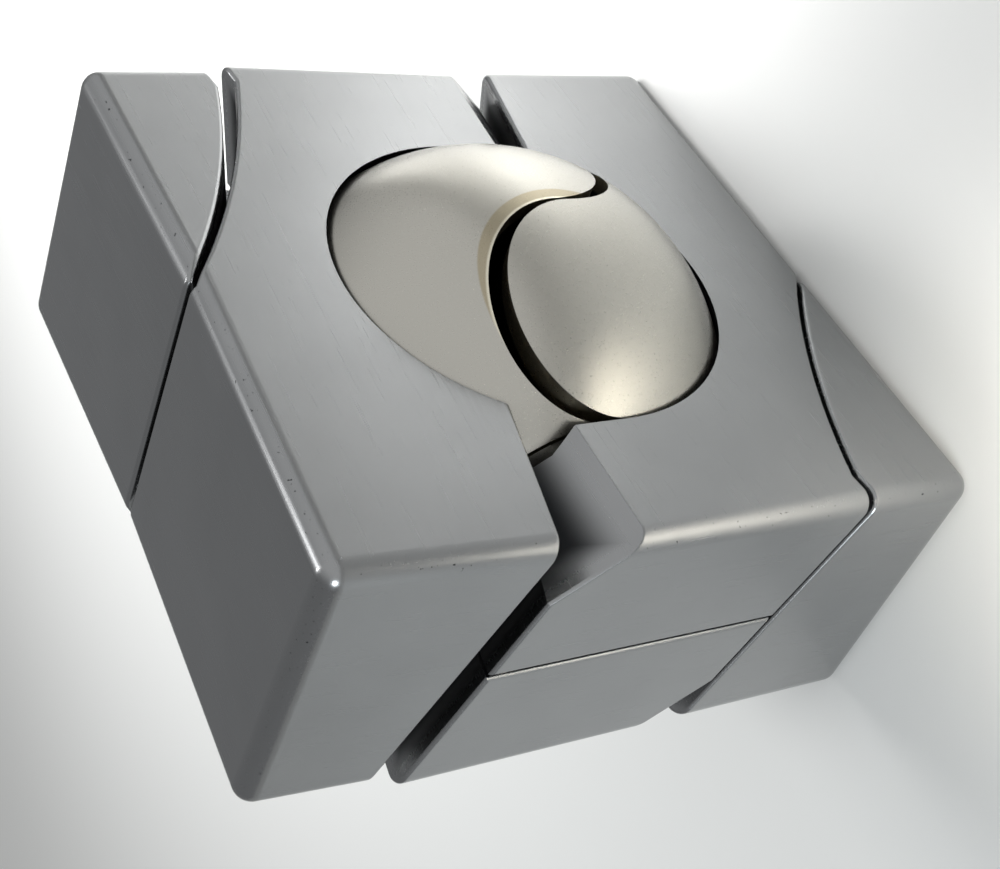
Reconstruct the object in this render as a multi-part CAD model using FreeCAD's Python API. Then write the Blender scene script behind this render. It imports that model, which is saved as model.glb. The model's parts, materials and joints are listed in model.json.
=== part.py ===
"""A cast-metal take-apart puzzle: a square block in four castings round a split ball.

Millimetres, +Z up, origin at the centre of the ball. The pieces are drawn lying down, with
the ball's pole up, X along the front face and Y from front to back. They are then stood on
the block's right side, the one flat face to rest on, so that the ball's pole faces the
front. The left half (two blocks and the left half of the ball) lifts off the right half.
"""
import FreeCAD, Part
import math
import os

V = FreeCAD.Vector

# Block
BLOCK_SIDE = 43.0
BLOCK_HEIGHT = 20.0
EDGE_ROUND = 1.2
SEAM_ROUND = 0.25

# Ball
BALL_RADIUS = 15.8
BALL_CLEARANCE = 0.35
BALL_SEAM_REACH = 12.5
BALL_SEAM_GAP = 0.12
BALL_SEAM_OPENING = 1.0
TAIL_CLEARANCE = 1.1

# Seams between the four blocks
SEAM_OFFSET = 10.5
SEAM_LEAN = 0.28
SEAM_TAPER = 0.15
SEAM_BOW = 0.9
SEAM_GAP = 0.35
SIDE_GAP = 0.50
SIDE_SHIFT = 1.6
LAYER_GAP = 0.24
SIDE_LIP = 0.2
FRONT_LIP = 2.2

# Sloping facet at the free end of each block's finger
FACET_START = 3.7
FACET_ANGLE = 40.0

# The loose front-left block stands swung by this much about the ball's upright axis
SWING_ANGLE = 3.0

HALF_SIDE = BLOCK_SIDE / 2
HALF_HEIGHT = BLOCK_HEIGHT / 2
LAYER_FACE = LAYER_GAP / 2
CAVITY_RADIUS = BALL_RADIUS + BALL_CLEARANCE
HOLE_RADIUS = math.sqrt(CAVITY_RADIUS**2 - HALF_HEIGHT**2)
SEAM_ROOT = CAVITY_RADIUS / 2
# The curved seam ends this far out at mid height, and a lip's width inside the side at its top
SEAM_END = SIDE_LIP + SEAM_LEAN * HALF_HEIGHT - HALF_SIDE
SWING_ROOM = HALF_SIDE * math.sin(math.radians(SWING_ANGLE))
# Cutting shapes run past what they cut by this much
BEYOND = BLOCK_SIDE
ON_FACE = 1e-4
# Faces that meet at less than this angle meet smoothly
SMOOTH_ANGLE = math.radians(10)

X_AXIS = V(1, 0, 0)
Y_AXIS = V(0, 1, 0)
Z_AXIS = V(0, 0, 1)


def turned(shape, axis, degrees):
    """A copy of the shape turned about an axis through the ball's centre."""
    copy = shape.copy()
    copy.rotate(V(0, 0, 0), axis, degrees)
    return copy


def bowed_arc(start, end, bow):
    """An arc from start to end, standing off its chord by bow on the chord's left side."""
    chord = end - start
    left = V(-chord.y, chord.x, 0)
    left.normalize()
    return Part.Arc(start, (start + end) * 0.5 + left * bow, end).toShape()


def leaning_prism(edges, low, high, lean):
    """A prism on a plan drawn at height 0, leaning along X by lean for each unit of height."""
    face = Part.Face(Part.Wire(edges))
    face.translate(V(lean * low, 0, low))
    return face.extrude(V(lean, 0, 1) * (high - low))


def lines(points):
    """Straight edges through plan points."""
    return [Part.makeLine(V(*a, 0), V(*b, 0)) for a, b in zip(points[:-1], points[1:])]


def front_of_arm(side_y):
    """The upper layer's corner, in front of the side seam."""
    front_x = -SEAM_OFFSET - SEAM_GAP / 2
    root_x = front_x + SEAM_TAPER * (HALF_SIDE - SEAM_ROOT)
    points = [
        (0, side_y),
        (-BEYOND, side_y),
        (-BEYOND, -BEYOND),
        (front_x - SEAM_TAPER * (BEYOND - HALF_SIDE), -BEYOND),
        (root_x, -SEAM_ROOT),
        (0, side_y),
    ]
    return leaning_prism(lines(points), LAYER_FACE, BEYOND, SEAM_LEAN)


def back_of_arm(side_y, end_room):
    """The upper layer's plate and finger, behind the side seam."""
    end_x = SEAM_OFFSET - SEAM_GAP / 2 - end_room
    root_x = end_x - SEAM_TAPER * (HALF_SIDE - SEAM_ROOT)
    start_x = -SEAM_OFFSET + SEAM_GAP / 2
    arc_start = (start_x + SEAM_TAPER * FRONT_LIP, HALF_SIDE - FRONT_LIP)
    arc_end = (SEAM_END, side_y)
    points = [
        arc_end,
        (0, side_y),
        (root_x, SEAM_ROOT),
        (end_x + SEAM_TAPER * (BEYOND - HALF_SIDE), BEYOND),
        (start_x - SEAM_TAPER * (BEYOND - HALF_SIDE), BEYOND),
        arc_start,
    ]
    arc = bowed_arc(V(*arc_start, 0), V(*arc_end, 0), SEAM_BOW)
    return leaning_prism(lines(points) + [arc], LAYER_FACE, BEYOND, -SEAM_LEAN)


def foot(side_y):
    """The lower layer of a block: the corner column alone."""
    front_x = -SEAM_OFFSET - SEAM_GAP / 2
    arc_start = (front_x + SEAM_TAPER * FRONT_LIP, FRONT_LIP - HALF_SIDE)
    arc_end = (SEAM_END, side_y)
    points = [
        arc_end,
        (-BEYOND, side_y),
        (-BEYOND, -BEYOND),
        (front_x - SEAM_TAPER * (BEYOND - HALF_SIDE), -BEYOND),
        arc_start,
    ]
    arc = bowed_arc(V(*arc_start, 0), V(*arc_end, 0), -SEAM_BOW)
    return leaning_prism(lines(points) + [arc], -BEYOND, LAYER_FACE, SEAM_LEAN)


def tail_passage():
    """The straight way along X by which the other ball half slides out past the finger."""
    bore = Part.makeCylinder(CAVITY_RADIUS, BEYOND, V(0, 0, 0), X_AXIS)
    reach = BALL_SEAM_REACH + TAIL_CLEARANCE
    return bore.common(Part.makeBox(BEYOND, reach, BEYOND))


def finger_facet():
    """The wedge cut from the finger's end, sloping down from the top face."""
    drop = BEYOND * math.tan(math.radians(FACET_ANGLE))
    corners = [
        V(FACET_START, 0, HALF_HEIGHT),
        V(FACET_START + BEYOND, 0, HALF_HEIGHT - drop),
        V(FACET_START + BEYOND, 0, HALF_HEIGHT + drop),
        V(FACET_START, 0, HALF_HEIGHT + drop),
    ]
    return Part.Face(Part.makePolygon(corners + corners[:1])).extrude(Y_AXIS * BEYOND)


def rounded_block():
    """The whole square block with its outer edges rounded, before it is divided."""
    corner = V(-HALF_SIDE, -HALF_SIDE, -HALF_HEIGHT)
    block = Part.makeBox(BLOCK_SIDE, BLOCK_SIDE, BLOCK_HEIGHT, corner)
    return block.makeFillet(EDGE_ROUND, block.Edges)


def on_seam(edge, block, skin):
    """Whether an edge of a block is a sharp one in the rounded block's skin."""
    middle = edge.valueAt((edge.FirstParameter + edge.LastParameter) / 2)
    if skin.distToShape(Part.Vertex(middle))[0] > ON_FACE:
        return False
    faces = block.ancestorsOfType(edge, Part.Face)
    normals = [face.normalAt(*face.Surface.parameter(middle)) for face in faces]
    return len(normals) == 2 and normals[0].getAngle(normals[1]) > SMOOTH_ANGLE


def in_ball_hole(edge):
    """Whether both ends of an edge lie inside the round hole in the top face."""
    return all(math.hypot(end.X, end.Y) < HOLE_RADIUS for end in edge.Vertexes)


def frame_block(side_shift, swing_room):
    """One casting of the block, in the place of the front-left one.

    side_shift moves the side wall back, and swing_room is taken off the two walls that the
    block would swing against. The edges are rounded before the ball's cavity is cut, so the
    hole keeps a crisp rim.
    """
    side_y = side_shift - SIDE_GAP / 2 - swing_room
    whole = rounded_block()
    arm = front_of_arm(side_y).fuse(back_of_arm(side_y, swing_room))
    block = whole.common(arm.fuse(foot(side_y)).removeSplitter())
    block = block.cut(finger_facet()).removeSplitter().Solids[0]
    skin = whole.Shells[0]
    seam_edges = [
        edge for edge in block.Edges if not in_ball_hole(edge) and on_seam(edge, block, skin)
    ]
    block = block.makeFillet(SEAM_ROUND, seam_edges)
    for hollow in (Part.makeSphere(CAVITY_RADIUS), tail_passage()):
        block = block.cut(hollow)
    return block.Solids[0]


def half_circle(start, end, side):
    """A half circle between two plan points in line along Y, bulging to +X or -X by side."""
    middle = (start + end) * 0.5
    radius = (end - start).Length / 2
    return Part.Arc(start, middle + X_AXIS * radius * side, end).toShape()


def left_of_seam():
    """What the left ball half keeps of the upper layer: left of an S, and all behind its end."""
    slack = BALL_SEAM_GAP / 2
    shift = -BALL_SEAM_OPENING / 2
    front = V(shift, -BALL_SEAM_REACH - slack, 0)
    centre = V(shift, slack, 0)
    back = V(shift, BALL_SEAM_REACH - slack, 0)
    behind = V(shift, BALL_SEAM_REACH + slack, 0)
    straight = [
        back,
        behind,
        V(BEYOND, behind.y, 0),
        V(BEYOND, BEYOND, 0),
        V(-BEYOND, BEYOND, 0),
        V(-BEYOND, front.y, 0),
        front,
    ]
    edges = [half_circle(front, centre, -1), half_circle(centre, back, 1)]
    edges += [Part.makeLine(a, b) for a, b in zip(straight[:-1], straight[1:])]
    face = Part.Face(Part.Wire(edges))
    face.translate(Z_AXIS * -BEYOND)
    prism = face.extrude(Z_AXIS * 2 * BEYOND)
    ahead = V(-BEYOND, -BEYOND, -BEYOND)
    return prism.cut(Part.makeBox(2 * BEYOND, BEYOND - BALL_SEAM_REACH + slack, 2 * BEYOND, ahead))


def ball_half():
    """The left half of the ball: two layers with mirrored S seams, joined where both agree."""
    slack = BALL_SEAM_GAP / 2
    upper = left_of_seam()
    lower = turned(upper, X_AXIS, 180)
    above = Part.makeBox(2 * BEYOND, 2 * BEYOND, BEYOND, V(-BEYOND, -BEYOND, slack))
    below = turned(above, X_AXIS, 180)
    body = upper.common(above).fuse(lower.common(below)).fuse(upper.common(lower))
    return Part.makeSphere(BALL_RADIUS).common(body).removeSplitter().Solids[0]


def stood_up(shape):
    """A piece turned from how it is drawn to how it stands: right side down, pole to the front."""
    return turned(turned(shape, Y_AXIS, 90), Z_AXIS, -90)


def pieces():
    """Every piece by name, where it stands in the closed puzzle."""
    past_middle = frame_block(SIDE_SHIFT, 0.0)
    short_of_middle = frame_block(-SIDE_SHIFT, 0.0)
    half_ball = ball_half()
    drawn = {
        "front_left_block": turned(frame_block(SIDE_SHIFT, SWING_ROOM), Z_AXIS, -SWING_ANGLE),
        "back_right_block": turned(past_middle, Z_AXIS, 180),
        "front_right_block": turned(short_of_middle, Y_AXIS, 180),
        "back_left_block": turned(short_of_middle, X_AXIS, 180),
        "ball_left_half": half_ball,
        "ball_right_half": turned(half_ball, Z_AXIS, 180),
    }
    return {name: stood_up(shape) for name, shape in drawn.items()}


def main():
    """Write each piece to its own file."""
    os.makedirs("parts", exist_ok=True)
    for name, shape in pieces().items():
        shape.exportStep(f"parts/{name}.step")
        print(f"{name}: {len(shape.Solids)} solid, {shape.Volume:.0f} mm3, valid {shape.isValid()}")


if __name__ == "__main__":
    main()
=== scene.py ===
# %% [markdown]
# # A cast-metal take-apart puzzle
# The real thing is a square block of four plated zinc castings that lock round a split ball.
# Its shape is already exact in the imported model, so nothing is modelled again here. What the
# model lacks is finish, and this lesson is about that: how plain metal gets its look from
# roughness, fine brushing, dark walls inside the gaps, and what it has around it to reflect.

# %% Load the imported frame
import json
import math

import bpy
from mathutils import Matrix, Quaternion, Vector


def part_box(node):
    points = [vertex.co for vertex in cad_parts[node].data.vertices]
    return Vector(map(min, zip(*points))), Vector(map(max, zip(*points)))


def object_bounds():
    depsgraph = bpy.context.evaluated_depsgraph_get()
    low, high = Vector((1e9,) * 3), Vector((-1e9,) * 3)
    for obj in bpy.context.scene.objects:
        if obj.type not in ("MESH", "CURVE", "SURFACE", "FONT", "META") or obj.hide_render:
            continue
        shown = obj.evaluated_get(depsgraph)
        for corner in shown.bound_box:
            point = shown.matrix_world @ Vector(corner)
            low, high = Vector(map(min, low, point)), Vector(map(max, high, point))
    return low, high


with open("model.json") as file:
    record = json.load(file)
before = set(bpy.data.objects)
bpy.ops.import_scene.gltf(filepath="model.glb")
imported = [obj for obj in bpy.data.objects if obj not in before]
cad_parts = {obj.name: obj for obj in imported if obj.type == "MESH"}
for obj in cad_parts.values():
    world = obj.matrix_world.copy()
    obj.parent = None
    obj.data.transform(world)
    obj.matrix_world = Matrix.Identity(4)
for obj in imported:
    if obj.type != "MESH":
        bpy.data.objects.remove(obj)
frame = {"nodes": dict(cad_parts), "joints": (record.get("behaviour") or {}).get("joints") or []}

MM = 0.001
cad_box = [list(corner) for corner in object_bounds()]
scene = bpy.context.scene
scene.view_settings.view_transform = "Standard"
print("nodes:", sorted(frame["nodes"]))

# %% [markdown]
# ## Two helpers
# Colours are written as sRGB hex values, as they are read from a picture, but shaders work on
# linear light. One function converts them. A second adds a shader node, gives it its settings
# and fills its inputs, each with a number or with a link from another node's output. A Mix
# node's sockets share their names, so they go by number: 2 and 3 take values, 6 and 7 take
# colours, and output 2 gives the mixed colour.

# %% Colour and node helpers
def linear(hex_colour):
    """An sRGB hex colour as linear red, green, blue and a full alpha."""
    channels = [int(hex_colour[i:i + 2], 16) / 255 for i in (1, 3, 5)]
    return [c / 12.92 if c <= 0.04045 else ((c + 0.055) / 1.055) ** 2.4 for c in channels] + [1.0]


def add_node(tree, kind, settings=None, inputs=None):
    """A new node of the tree, with its settings and its inputs filled or linked."""
    node = tree.nodes.new(kind)
    for name, value in (settings or {}).items():
        setattr(node, name, value)
    for socket, value in (inputs or {}).items():
        if isinstance(value, bpy.types.NodeSocket):
            tree.links.new(value, node.inputs[socket])
        else:
            node.inputs[socket].default_value = value
    return node


print("white in linear light:", linear("#ffffff"))

# %% [markdown]
# ## The camera
# The puzzle stands on its right side, because its two large faces bulge with the ball. It is
# looked at with the camera rolled over by about a right angle, so in the picture it seems to
# lie flat with a corner towards us. A longish lens keeps the perspective gentle.

# %% Camera
CAMERA_PLACE = Vector((-64.33, -69.42, 58.74)) * MM
CAMERA_AIM = Vector((-2.694, 1.522, -0.972)) * MM
CAMERA_ROLL = -97.127
CAMERA_LENS_MM = 61.756
CAMERA_SENSOR_MM = 36.0

camera = bpy.data.objects.new("camera", bpy.data.cameras.new("camera"))
scene.collection.objects.link(camera)
camera.location = CAMERA_PLACE
level = (CAMERA_AIM - CAMERA_PLACE).to_track_quat("-Z", "Y")
camera.rotation_mode = "QUATERNION"
camera.rotation_quaternion = level @ Quaternion((0, 0, 1), math.radians(CAMERA_ROLL))
camera.data.lens = CAMERA_LENS_MM
camera.data.sensor_width = CAMERA_SENSOR_MM
camera.data.clip_start = MM
scene.camera = camera
print("camera distance in mm:", round((CAMERA_AIM - CAMERA_PLACE).length / MM, 1))

# %% [markdown]
# ## The floor
# Metal shows little of its own. Most of what we see on it is its surroundings, and here that
# is a sheet of matt white card, which gives the faces a soft, even tone to reflect. A curved
# backdrop would do as well, but one flat square is simpler. It is so large that, seen from low
# down, its edge lies as far off as a horizon.

# %% Floor
FLOOR_HALF = 6000 * MM
CARD_WHITE = "#f1f1ef"
CARD_ROUGHNESS = 0.9
CARD_SHINE = 0.1

floor_height = cad_box[0][2]
sides = [(-1, -1), (1, -1), (1, 1), (-1, 1)]
corners = [(x * FLOOR_HALF, y * FLOOR_HALF, floor_height) for x, y in sides]
floor_mesh = bpy.data.meshes.new("floor")
floor_mesh.from_pydata(corners, [], [(0, 1, 2, 3)])
floor = bpy.data.objects.new("floor", floor_mesh)
scene.collection.objects.link(floor)

card = bpy.data.materials.new("white_card")
card.use_nodes = True
card_shader = card.node_tree.nodes["Principled BSDF"]
card_shader.inputs["Base Color"].default_value = linear(CARD_WHITE)
card_shader.inputs["Roughness"].default_value = CARD_ROUGHNESS
card_shader.inputs["Specular IOR Level"].default_value = CARD_SHINE
floor_mesh.materials.append(card)
print("floor at mm:", round(floor_height / MM, 2))

# %% [markdown]
# ## The room
# Satin metal likes large soft lights, because a small lamp makes a hard white spot. So most
# light comes from the room itself: pale on the near side, as from a wide window, and dim on
# the far side, which the uppermost face mirrors as a dark grey. A picture of a real room
# could be wrapped around the scene instead, but two greys are easier to match to a metal.

# %% Room
WINDOW_GREY = "#d8d9d9"
ROOM_GREY = "#8a8b8c"
# How far along Y a direction points where the room is darkest, and where it is palest
ROOM_END, WINDOW_END = 0.5, -0.7

room = bpy.data.worlds.new("room")
room.use_nodes = True
sky = room.node_tree
direction = add_node(sky, "ShaderNodeTexCoord")
pointing = add_node(sky, "ShaderNodeSeparateXYZ", inputs={0: direction.outputs["Generated"]})
window = add_node(sky, "ShaderNodeMapRange", {"interpolation_type": "SMOOTHSTEP"}, {
    "Value": pointing.outputs["Y"], "From Min": ROOM_END, "From Max": WINDOW_END})
tone = add_node(sky, "ShaderNodeMix", {"data_type": "RGBA"}, {
    "Factor": window.outputs[0], 6: linear(ROOM_GREY), 7: linear(WINDOW_GREY)})
sky.links.new(tone.outputs[2], sky.nodes["Background"].inputs["Color"])
scene.world = room
print("room from", ROOM_GREY, "to", WINDOW_GREY)

# %% [markdown]
# ## The lamps
# Seen from above, the upright faces mirror the card in front of them, so the lamps are aimed
# at the card and not at the puzzle. Two wide ones make it pale on the left, where the narrow
# front faces look, and on the right. Two narrow ones make small bright pools: one where the
# far end of the large face looks, so that this face runs from mid grey to pale, and one by
# the rounded front edge, which gathers it into a bright line.

# %% Lamps
LAMPS = {
    # name: place and aim in mm, width in mm, spread in degrees, watts, colour
    "left_lamp": ((-330, 20, 130), (-60, 40, -21), 120, 50, 0.055, "#eef6fa"),
    "right_lamp": ((200, 20, 300), (115, 15, -21), 120, 45, 0.13, "#ffffff"),
    "back_lamp": ((120, -120, 300), (40, -32, -21), 20, 11, 0.0065, "#ffffff"),
    "edge_lamp": ((-200, -150, 160), (-48, -34, -21), 15, 11, 0.0085, "#fff8ea"),
}

for lamp_name, (place, aim, width, spread, watts, colour) in LAMPS.items():
    lamp = bpy.data.objects.new(lamp_name, bpy.data.lights.new(lamp_name, "AREA"))
    scene.collection.objects.link(lamp)
    lamp.location = Vector(place) * MM
    lamp.rotation_euler = (Vector(aim) - Vector(place)).to_track_quat("-Z", "Y").to_euler()
    lamp.data.size = width * MM
    lamp.data.spread = math.radians(spread)
    lamp.data.energy = watts
    lamp.data.color = linear(colour)[:3]
print("lamps:", list(LAMPS))

# %% [markdown]
# ## How deep a point lies
# The outside of a casting is rubbed and plated, and the walls inside its gaps are not; their
# colour is also painted dark there, as painted shade. Its faces could be picked one by one and
# given two materials, but a casting's wall runs smoothly into its outside, and so should the
# finish. So one material measures how far a point lies under the block's outer faces. Near one
# face is the outside, near two at once is a rounded edge, and far from all of them is inside.

# %% Depth under the block's faces
SQUARE_BLOCKS = ("back_right_block", "front_right_block", "back_left_block")

block_corners = [corner for node in SQUARE_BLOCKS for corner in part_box(node)]
block_half = [max(abs(corner[axis]) for corner in block_corners) for axis in range(3)]


def face_heights(tree, place):
    """A point's height over the nearest of the block's outer faces and over the next, below 0 inside."""
    size = add_node(tree, "ShaderNodeVectorMath", {"operation": "ABSOLUTE"}, {0: place})
    over = add_node(tree, "ShaderNodeVectorMath", {"operation": "SUBTRACT"},
                    {0: size.outputs[0], 1: block_half})
    x, y, z = add_node(tree, "ShaderNodeSeparateXYZ", inputs={0: over.outputs[0]}).outputs
    higher = add_node(tree, "ShaderNodeMath", {"operation": "MAXIMUM"}, {0: x, 1: y})
    lower = add_node(tree, "ShaderNodeMath", {"operation": "MINIMUM"}, {0: x, 1: y})
    nearest = add_node(tree, "ShaderNodeMath", {"operation": "MAXIMUM"}, {0: higher.outputs[0], 1: z})
    between = add_node(tree, "ShaderNodeMath", {"operation": "MINIMUM"}, {0: higher.outputs[0], 1: z})
    second = add_node(tree, "ShaderNodeMath", {"operation": "MAXIMUM"},
                      {0: lower.outputs[0], 1: between.outputs[0]})
    return nearest.outputs[0], second.outputs[0]


print("half the block in mm:", [round(half / MM, 2) for half in block_half])

# %% [markdown]
# ## Hair lines
# The castings were rubbed with fine abrasive, which leaves hair lines. Cut into the mesh they
# would need millions of faces, so a noise stands in for them, stretched along the way of the
# rubbing. That is one way over the whole block, apart from the narrow end faces, which are
# rubbed along their own length.

# %% Hair lines
# Real hair lines are finer than this, and drawn that fine they would not show in the render
RUB_WIDTH = 0.12 * MM
RUB_LENGTH = 7.0 * MM
# How squarely a face looks along X before it counts as a narrow one
NARROW_FROM, NARROW_FULL = 0.6, 0.8


def hair_lines(tree, place, normal):
    """A noise drawn out along X, and along Z on the narrow faces."""
    fine, far = 1 / RUB_WIDTH, 1 / RUB_LENGTH
    drawn = []
    for stretch in ((far, fine, fine), (fine, fine, far)):
        scaled = add_node(tree, "ShaderNodeVectorMath", {"operation": "MULTIPLY"},
                          {0: place, 1: stretch})
        noise = add_node(tree, "ShaderNodeTexNoise", inputs={
            "Vector": scaled.outputs[0], "Scale": 1.0, "Detail": 3.0, "Roughness": 0.6})
        drawn.append(noise.outputs[0])
    look = add_node(tree, "ShaderNodeSeparateXYZ", inputs={0: normal})
    along_x = add_node(tree, "ShaderNodeMath", {"operation": "ABSOLUTE"}, {0: look.outputs["X"]})
    narrow = add_node(tree, "ShaderNodeMapRange", inputs={
        "Value": along_x.outputs[0], "From Min": NARROW_FROM, "From Max": NARROW_FULL})
    lines = add_node(tree, "ShaderNodeMix", inputs={
        "Factor": narrow.outputs[0], 2: drawn[0], 3: drawn[1]})
    return lines.outputs[0]


print("hair lines in mm:", round(RUB_WIDTH / MM, 2), "by", round(RUB_LENGTH / MM, 1))

# %% [markdown]
# ## Pits
# Rubbing opens small pits in cast metal, most of all along the rounded edges, where it wears
# away most. They are dark specks no wider than a grain of salt. Placing them by hand would be
# slow, so the highest peaks of a fine noise become pits: they stay few and lie at random.

# %% Pits
EDGE_WIDTH = 1.0 * MM
PIT_SIZE = 0.22 * MM
# The noise's values where a pit starts and where it is fully dark
PIT_FROM, PIT_FULL = 0.71, 0.78


def edge_pits(tree, place, second):
    """1 in a pit on a rounded edge, and 0 elsewhere."""
    edge = add_node(tree, "ShaderNodeMapRange", {"interpolation_type": "SMOOTHSTEP"}, {
        "Value": second, "From Min": -EDGE_WIDTH, "From Max": -EDGE_WIDTH / 2})
    specks = add_node(tree, "ShaderNodeTexNoise", inputs={
        "Vector": place, "Scale": 1 / PIT_SIZE, "Detail": 1.0})
    holes = add_node(tree, "ShaderNodeMapRange", inputs={
        "Value": specks.outputs[0], "From Min": PIT_FROM, "From Max": PIT_FULL})
    pits = add_node(tree, "ShaderNodeMath", {"operation": "MULTIPLY"},
                    {0: holes.outputs[0], 1: edge.outputs[0]})
    return pits.outputs[0]


print("pits in mm:", round(PIT_SIZE / MM, 2), "within", round(EDGE_WIDTH / MM, 1), "of an edge")

# %% [markdown]
# ## Dark nickel on zinc castings
# The four blocks are cast in zinc, rubbed and plated in dark nickel. To the eye that is a grey
# metal with soft reflections, drawn out by the hair lines, and with faint clouds where the hand
# pressed more or less. The walls inside the gaps keep the rough cast skin, and plating hardly
# reaches them, so a short way in from the outside they go dull, and their dark colour is partly
# the raw skin and partly painted shade in the gaps.

# %% Plate and cast skin
NICKEL_PALE = "#a5a6a7"
NICKEL_DEEP = "#999a9b"
CLOUD_SIZE = 6.0 * MM
# Dark cast skin for the pits, and for the gap walls, where it is also painted shade
CAST_SKIN_AND_SHADE = "#37383a"


def plate_colour(tree, place, inside, pits):
    """Clouded plate on the outside, dark cast skin with painted shade in the gaps, and dark pits."""
    clouds = add_node(tree, "ShaderNodeTexNoise", inputs={
        "Vector": place, "Scale": 1 / CLOUD_SIZE, "Detail": 2.0})
    plate = add_node(tree, "ShaderNodeMix", {"data_type": "RGBA"}, {
        "Factor": clouds.outputs[0], 6: linear(NICKEL_PALE), 7: linear(NICKEL_DEEP)})
    # Painted shade: the walls inside the gaps take the dark colour
    walled = add_node(tree, "ShaderNodeMix", {"data_type": "RGBA"}, {
        "Factor": inside, 6: plate.outputs[2], 7: linear(CAST_SKIN_AND_SHADE)})
    pitted = add_node(tree, "ShaderNodeMix", {"data_type": "RGBA"}, {
        "Factor": pits, 6: walled.outputs[2], 7: linear(CAST_SKIN_AND_SHADE)})
    return pitted.outputs[2]


print("plate from", NICKEL_PALE, "to", NICKEL_DEEP, "and cast skin", CAST_SKIN_AND_SHADE)

# %% Block finish
SKIN_DEPTH = 0.5 * MM
SKIN_FADE = 2.0 * MM
CAST_ROUGHNESS = 0.6
RUBBED_ROUGHNESS = (0.22, 0.28)
RUB_RELIEF = 0.04
# Most of a noise lies between these two values
NOISE_LOW, NOISE_HIGH = 0.3, 0.7


def plain_metal(name):
    """A new metal material, with its node tree and its shader."""
    material = bpy.data.materials.new(name)
    material.use_nodes = True
    shader = material.node_tree.nodes["Principled BSDF"]
    shader.inputs["Metallic"].default_value = 1.0
    return material, material.node_tree, shader


def rubbed_nickel(name, turned_degrees):
    """Dark nickel plate, rubbed on the outside, raw and painted with shade inside the gaps."""
    material, tree, shader = plain_metal(name)
    coords = add_node(tree, "ShaderNodeTexCoord")
    # The place in the block's own square, which the loose block carries turned
    turned = add_node(tree, "ShaderNodeVectorRotate", {"rotation_type": "Y_AXIS"}, {
        "Vector": coords.outputs["Object"], "Angle": math.radians(turned_degrees)})
    place = turned.outputs[0]
    nearest, second = face_heights(tree, place)
    # Deeper under the outer faces the finish turns rough and the colour dark, partly as painted shade
    inside = add_node(tree, "ShaderNodeMapRange", {"interpolation_type": "SMOOTHSTEP"}, {
        "Value": nearest, "From Min": -SKIN_DEPTH, "From Max": -SKIN_DEPTH - SKIN_FADE})
    pits = edge_pits(tree, place, second)
    colour = plate_colour(tree, place, inside.outputs[0], pits)
    tree.links.new(colour, shader.inputs["Base Color"])

    rubbing = hair_lines(tree, place, coords.outputs["Normal"])
    gloss = add_node(tree, "ShaderNodeMapRange", inputs={
        "Value": rubbing, "From Min": NOISE_LOW, "From Max": NOISE_HIGH,
        "To Min": RUBBED_ROUGHNESS[0], "To Max": RUBBED_ROUGHNESS[1]})
    rough = add_node(tree, "ShaderNodeMix", inputs={
        "Factor": inside.outputs[0], 2: gloss.outputs[0], 3: CAST_ROUGHNESS})
    tree.links.new(rough.outputs[0], shader.inputs["Roughness"])
    relief = add_node(tree, "ShaderNodeBump", inputs={
        "Height": rubbing, "Strength": RUB_RELIEF, "Distance": RUB_WIDTH})
    tree.links.new(relief.outputs[0], shader.inputs["Normal"])
    return material


print("cast skin starts at mm:", round(SKIN_DEPTH / MM, 2), "and fades in over", round(SKIN_FADE / MM, 2))

# %% [markdown]
# ## The straw border
# The left half of the ball shows a straw-coloured border with a bright lip, all along the
# hollow side of its S. There the seam's wall shows and catches the light; here it is painted on
# the skin instead, its straw tint with painted light, and the bright lip is a painted highlight.
# It could be painted on by hand as a mask. But seen from the ball's pole, that side of the seam
# is a half circle, so the distance from the circle's centre gives the border exactly. It is
# widest at the ball's middle and narrows to nothing along the seam.

# %% Straw border
SATIN_NICKEL = "#c4c1b9"
# The seam wall's straw tint, also painted on the skin as the lit wall
STRAW_EDGE = "#b2a892"
# A painted highlight along the border's edge
LIP_PAINTED_HIGHLIGHT = "#e8e2cf"
SEAM_RADIUS = 6.28 * MM
# How far the half circle's centre lies from the ball's, along the seam and across it
SEAM_CENTRE, SEAM_SHIFT = 6.22 * MM, 0.5 * MM
# The border starts this far along the seam
BORDER_FROM = 9.5 * MM
BORDER_WIDTH = 0.95 * MM
LIP_WIDTH = 0.1 * MM


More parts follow.
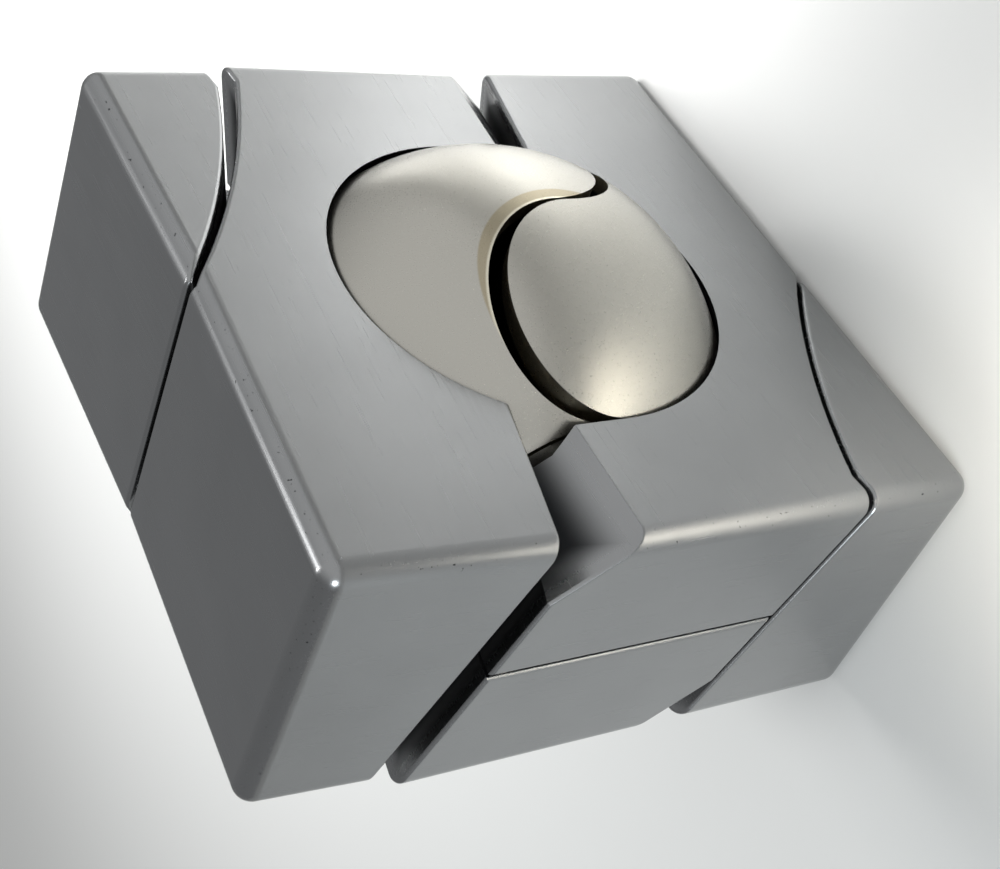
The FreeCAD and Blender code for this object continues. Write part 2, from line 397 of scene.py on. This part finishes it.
def straw_border(tree, place):
    """The ball's colour, with the border of painted light and its painted highlight lip along the seam's
    hollow side on either pole.
    """
    x, y, z = add_node(tree, "ShaderNodeSeparateXYZ", inputs={0: place}).outputs
    pole = add_node(tree, "ShaderNodeMath", {"operation": "SIGN"}, {0: y})
    along = add_node(tree, "ShaderNodeMath", {"operation": "MULTIPLY"}, {0: x, 1: pole.outputs[0]})
    plan = add_node(tree, "ShaderNodeCombineXYZ", inputs={"X": along.outputs[0], "Z": z})
    spoke = add_node(tree, "ShaderNodeVectorMath", {"operation": "SUBTRACT"}, {
        0: plan.outputs[0], 1: (SEAM_CENTRE, 0, SEAM_SHIFT)})
    reach = add_node(tree, "ShaderNodeVectorMath", {"operation": "LENGTH"}, {0: spoke.outputs[0]})
    off_seam = add_node(tree, "ShaderNodeMath", {"operation": "SUBTRACT"},
                        {0: reach.outputs["Value"], 1: SEAM_RADIUS})
    width = add_node(tree, "ShaderNodeMapRange", {"interpolation_type": "SMOOTHSTEP"}, {
        "Value": along.outputs[0], "From Min": BORDER_FROM, "From Max": 0.0, "To Max": BORDER_WIDTH})
    within = add_node(tree, "ShaderNodeMath", {"operation": "SUBTRACT"},
                      {0: width.outputs[0], 1: off_seam.outputs[0]})
    border = add_node(tree, "ShaderNodeMapRange", inputs={
        "Value": within.outputs[0], "From Min": 0.0, "From Max": LIP_WIDTH})
    # Painted highlight: a thin bright lip at the seam's edge
    lip_highlight = add_node(tree, "ShaderNodeMapRange", inputs={
        "Value": off_seam.outputs[0], "From Min": 2 * LIP_WIDTH, "From Max": LIP_WIDTH})
    straw = add_node(tree, "ShaderNodeMix", {"data_type": "RGBA"}, {
        "Factor": lip_highlight.outputs[0], 6: linear(STRAW_EDGE), 7: linear(LIP_PAINTED_HIGHLIGHT)})
    bordered = add_node(tree, "ShaderNodeMix", {"data_type": "RGBA"}, {
        "Factor": border.outputs[0], 6: linear(SATIN_NICKEL), 7: straw.outputs[2]})
    return bordered.outputs[2]


print("straw border in mm:", round(BORDER_WIDTH / MM, 2))

# %% [markdown]
# ## Satin nickel on the ball
# The ball is tumbled to an even satin and plated in plain nickel, which is paler and warmer than
# the dark kind. To the eye that is a soft glow with no lines in it. Under its skin the cut wall
# of each half is clean metal with a straw tint. Deeper in the seam the wall is painted dark, as
# painted shade, since closed up against its neighbour it shows as black. As on the blocks, depth
# tells wall from skin, and on a ball that only needs the distance from its centre.

# %% Seam wall
EDGE_BAND = 0.9 * MM
EDGE_FADE = 0.15 * MM
# Painted shade: the colour of the wall deeper in the seam
SEAM_PAINTED_SHADE = "#2e2c29"

ball_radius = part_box("ball_left_half")[1].y


def seam_wall(tree, reach):
    """The cut wall's colour, straw just under the skin and painted shade below that."""
    band_end = ball_radius - EDGE_BAND
    deep_shade = add_node(tree, "ShaderNodeMapRange", inputs={
        "Value": reach, "From Min": band_end, "From Max": band_end - EDGE_FADE})
    wall = add_node(tree, "ShaderNodeMix", {"data_type": "RGBA"}, {
        "Factor": deep_shade.outputs[0], 6: linear(STRAW_EDGE), 7: linear(SEAM_PAINTED_SHADE)})
    return wall.outputs[2]


print("ball radius in mm:", round(ball_radius / MM, 2))

# %% Ball finish
# The wall gives way to the skin between these depths: the mesh's facets lie a little under the ball
SKIN_FROM, SKIN_FULL = 0.06 * MM, 0.02 * MM
# Drawn coarser than tumbling leaves it, as with the hair lines
GRAIN_WIDTH = 0.1 * MM
SATIN_ROUGHNESS = (0.27, 0.30)


def satin_nickel(name, bordered):
    """Pale warm nickel, with a straw-coloured cut edge, painted shade in the seam, and on one half the
    painted border.
    """
    material, tree, shader = plain_metal(name)
    place = add_node(tree, "ShaderNodeTexCoord").outputs["Object"]
    reach = add_node(tree, "ShaderNodeVectorMath", {"operation": "LENGTH"}, {0: place}).outputs["Value"]
    skin = add_node(tree, "ShaderNodeMapRange", inputs={
        "Value": reach, "From Min": ball_radius - SKIN_FROM, "From Max": ball_radius - SKIN_FULL})
    outside = straw_border(tree, place) if bordered else linear(SATIN_NICKEL)
    # The cut wall under the skin: straw, then painted shade deeper in
    colour = add_node(tree, "ShaderNodeMix", {"data_type": "RGBA"}, {
        "Factor": skin.outputs[0], 6: seam_wall(tree, reach), 7: outside})
    tree.links.new(colour.outputs[2], shader.inputs["Base Color"])

    grain = add_node(tree, "ShaderNodeTexNoise", inputs={
        "Vector": place, "Scale": 1 / GRAIN_WIDTH, "Detail": 2.0})
    gloss = add_node(tree, "ShaderNodeMapRange", inputs={
        "Value": grain.outputs[0], "From Min": NOISE_LOW, "From Max": NOISE_HIGH,
        "To Min": SATIN_ROUGHNESS[0], "To Max": SATIN_ROUGHNESS[1]})
    tree.links.new(gloss.outputs[0], shader.inputs["Roughness"])
    return material


print("satin grain in mm:", round(GRAIN_WIDTH / MM, 2))

# %% [markdown]
# ## Each casting gets its finish
# Three blocks sit square and share one material. The loose one stands swung by the whole range
# of its joint, so its finish is turned with it, or its square would no longer line up with its
# own faces. The two ball halves differ in the straw border alone.

# %% Assign the finishes
swing = next(joint for joint in frame["joints"] if joint["name"] == "block_swing")
square_finish = rubbed_nickel("rubbed_dark_nickel", 0.0)
finishes = {
    "front_left_block": rubbed_nickel("rubbed_dark_nickel_loose", -swing["range_deg"][1]),
    "ball_left_half": satin_nickel("satin_nickel_bordered", True),
    "ball_right_half": satin_nickel("satin_nickel", False),
}
finishes.update({node: square_finish for node in SQUARE_BLOCKS})
for node, finish in finishes.items():
    materials = frame["nodes"][node].data.materials
    materials.clear()
    materials.append(finish)
    print(node, "->", finish.name)
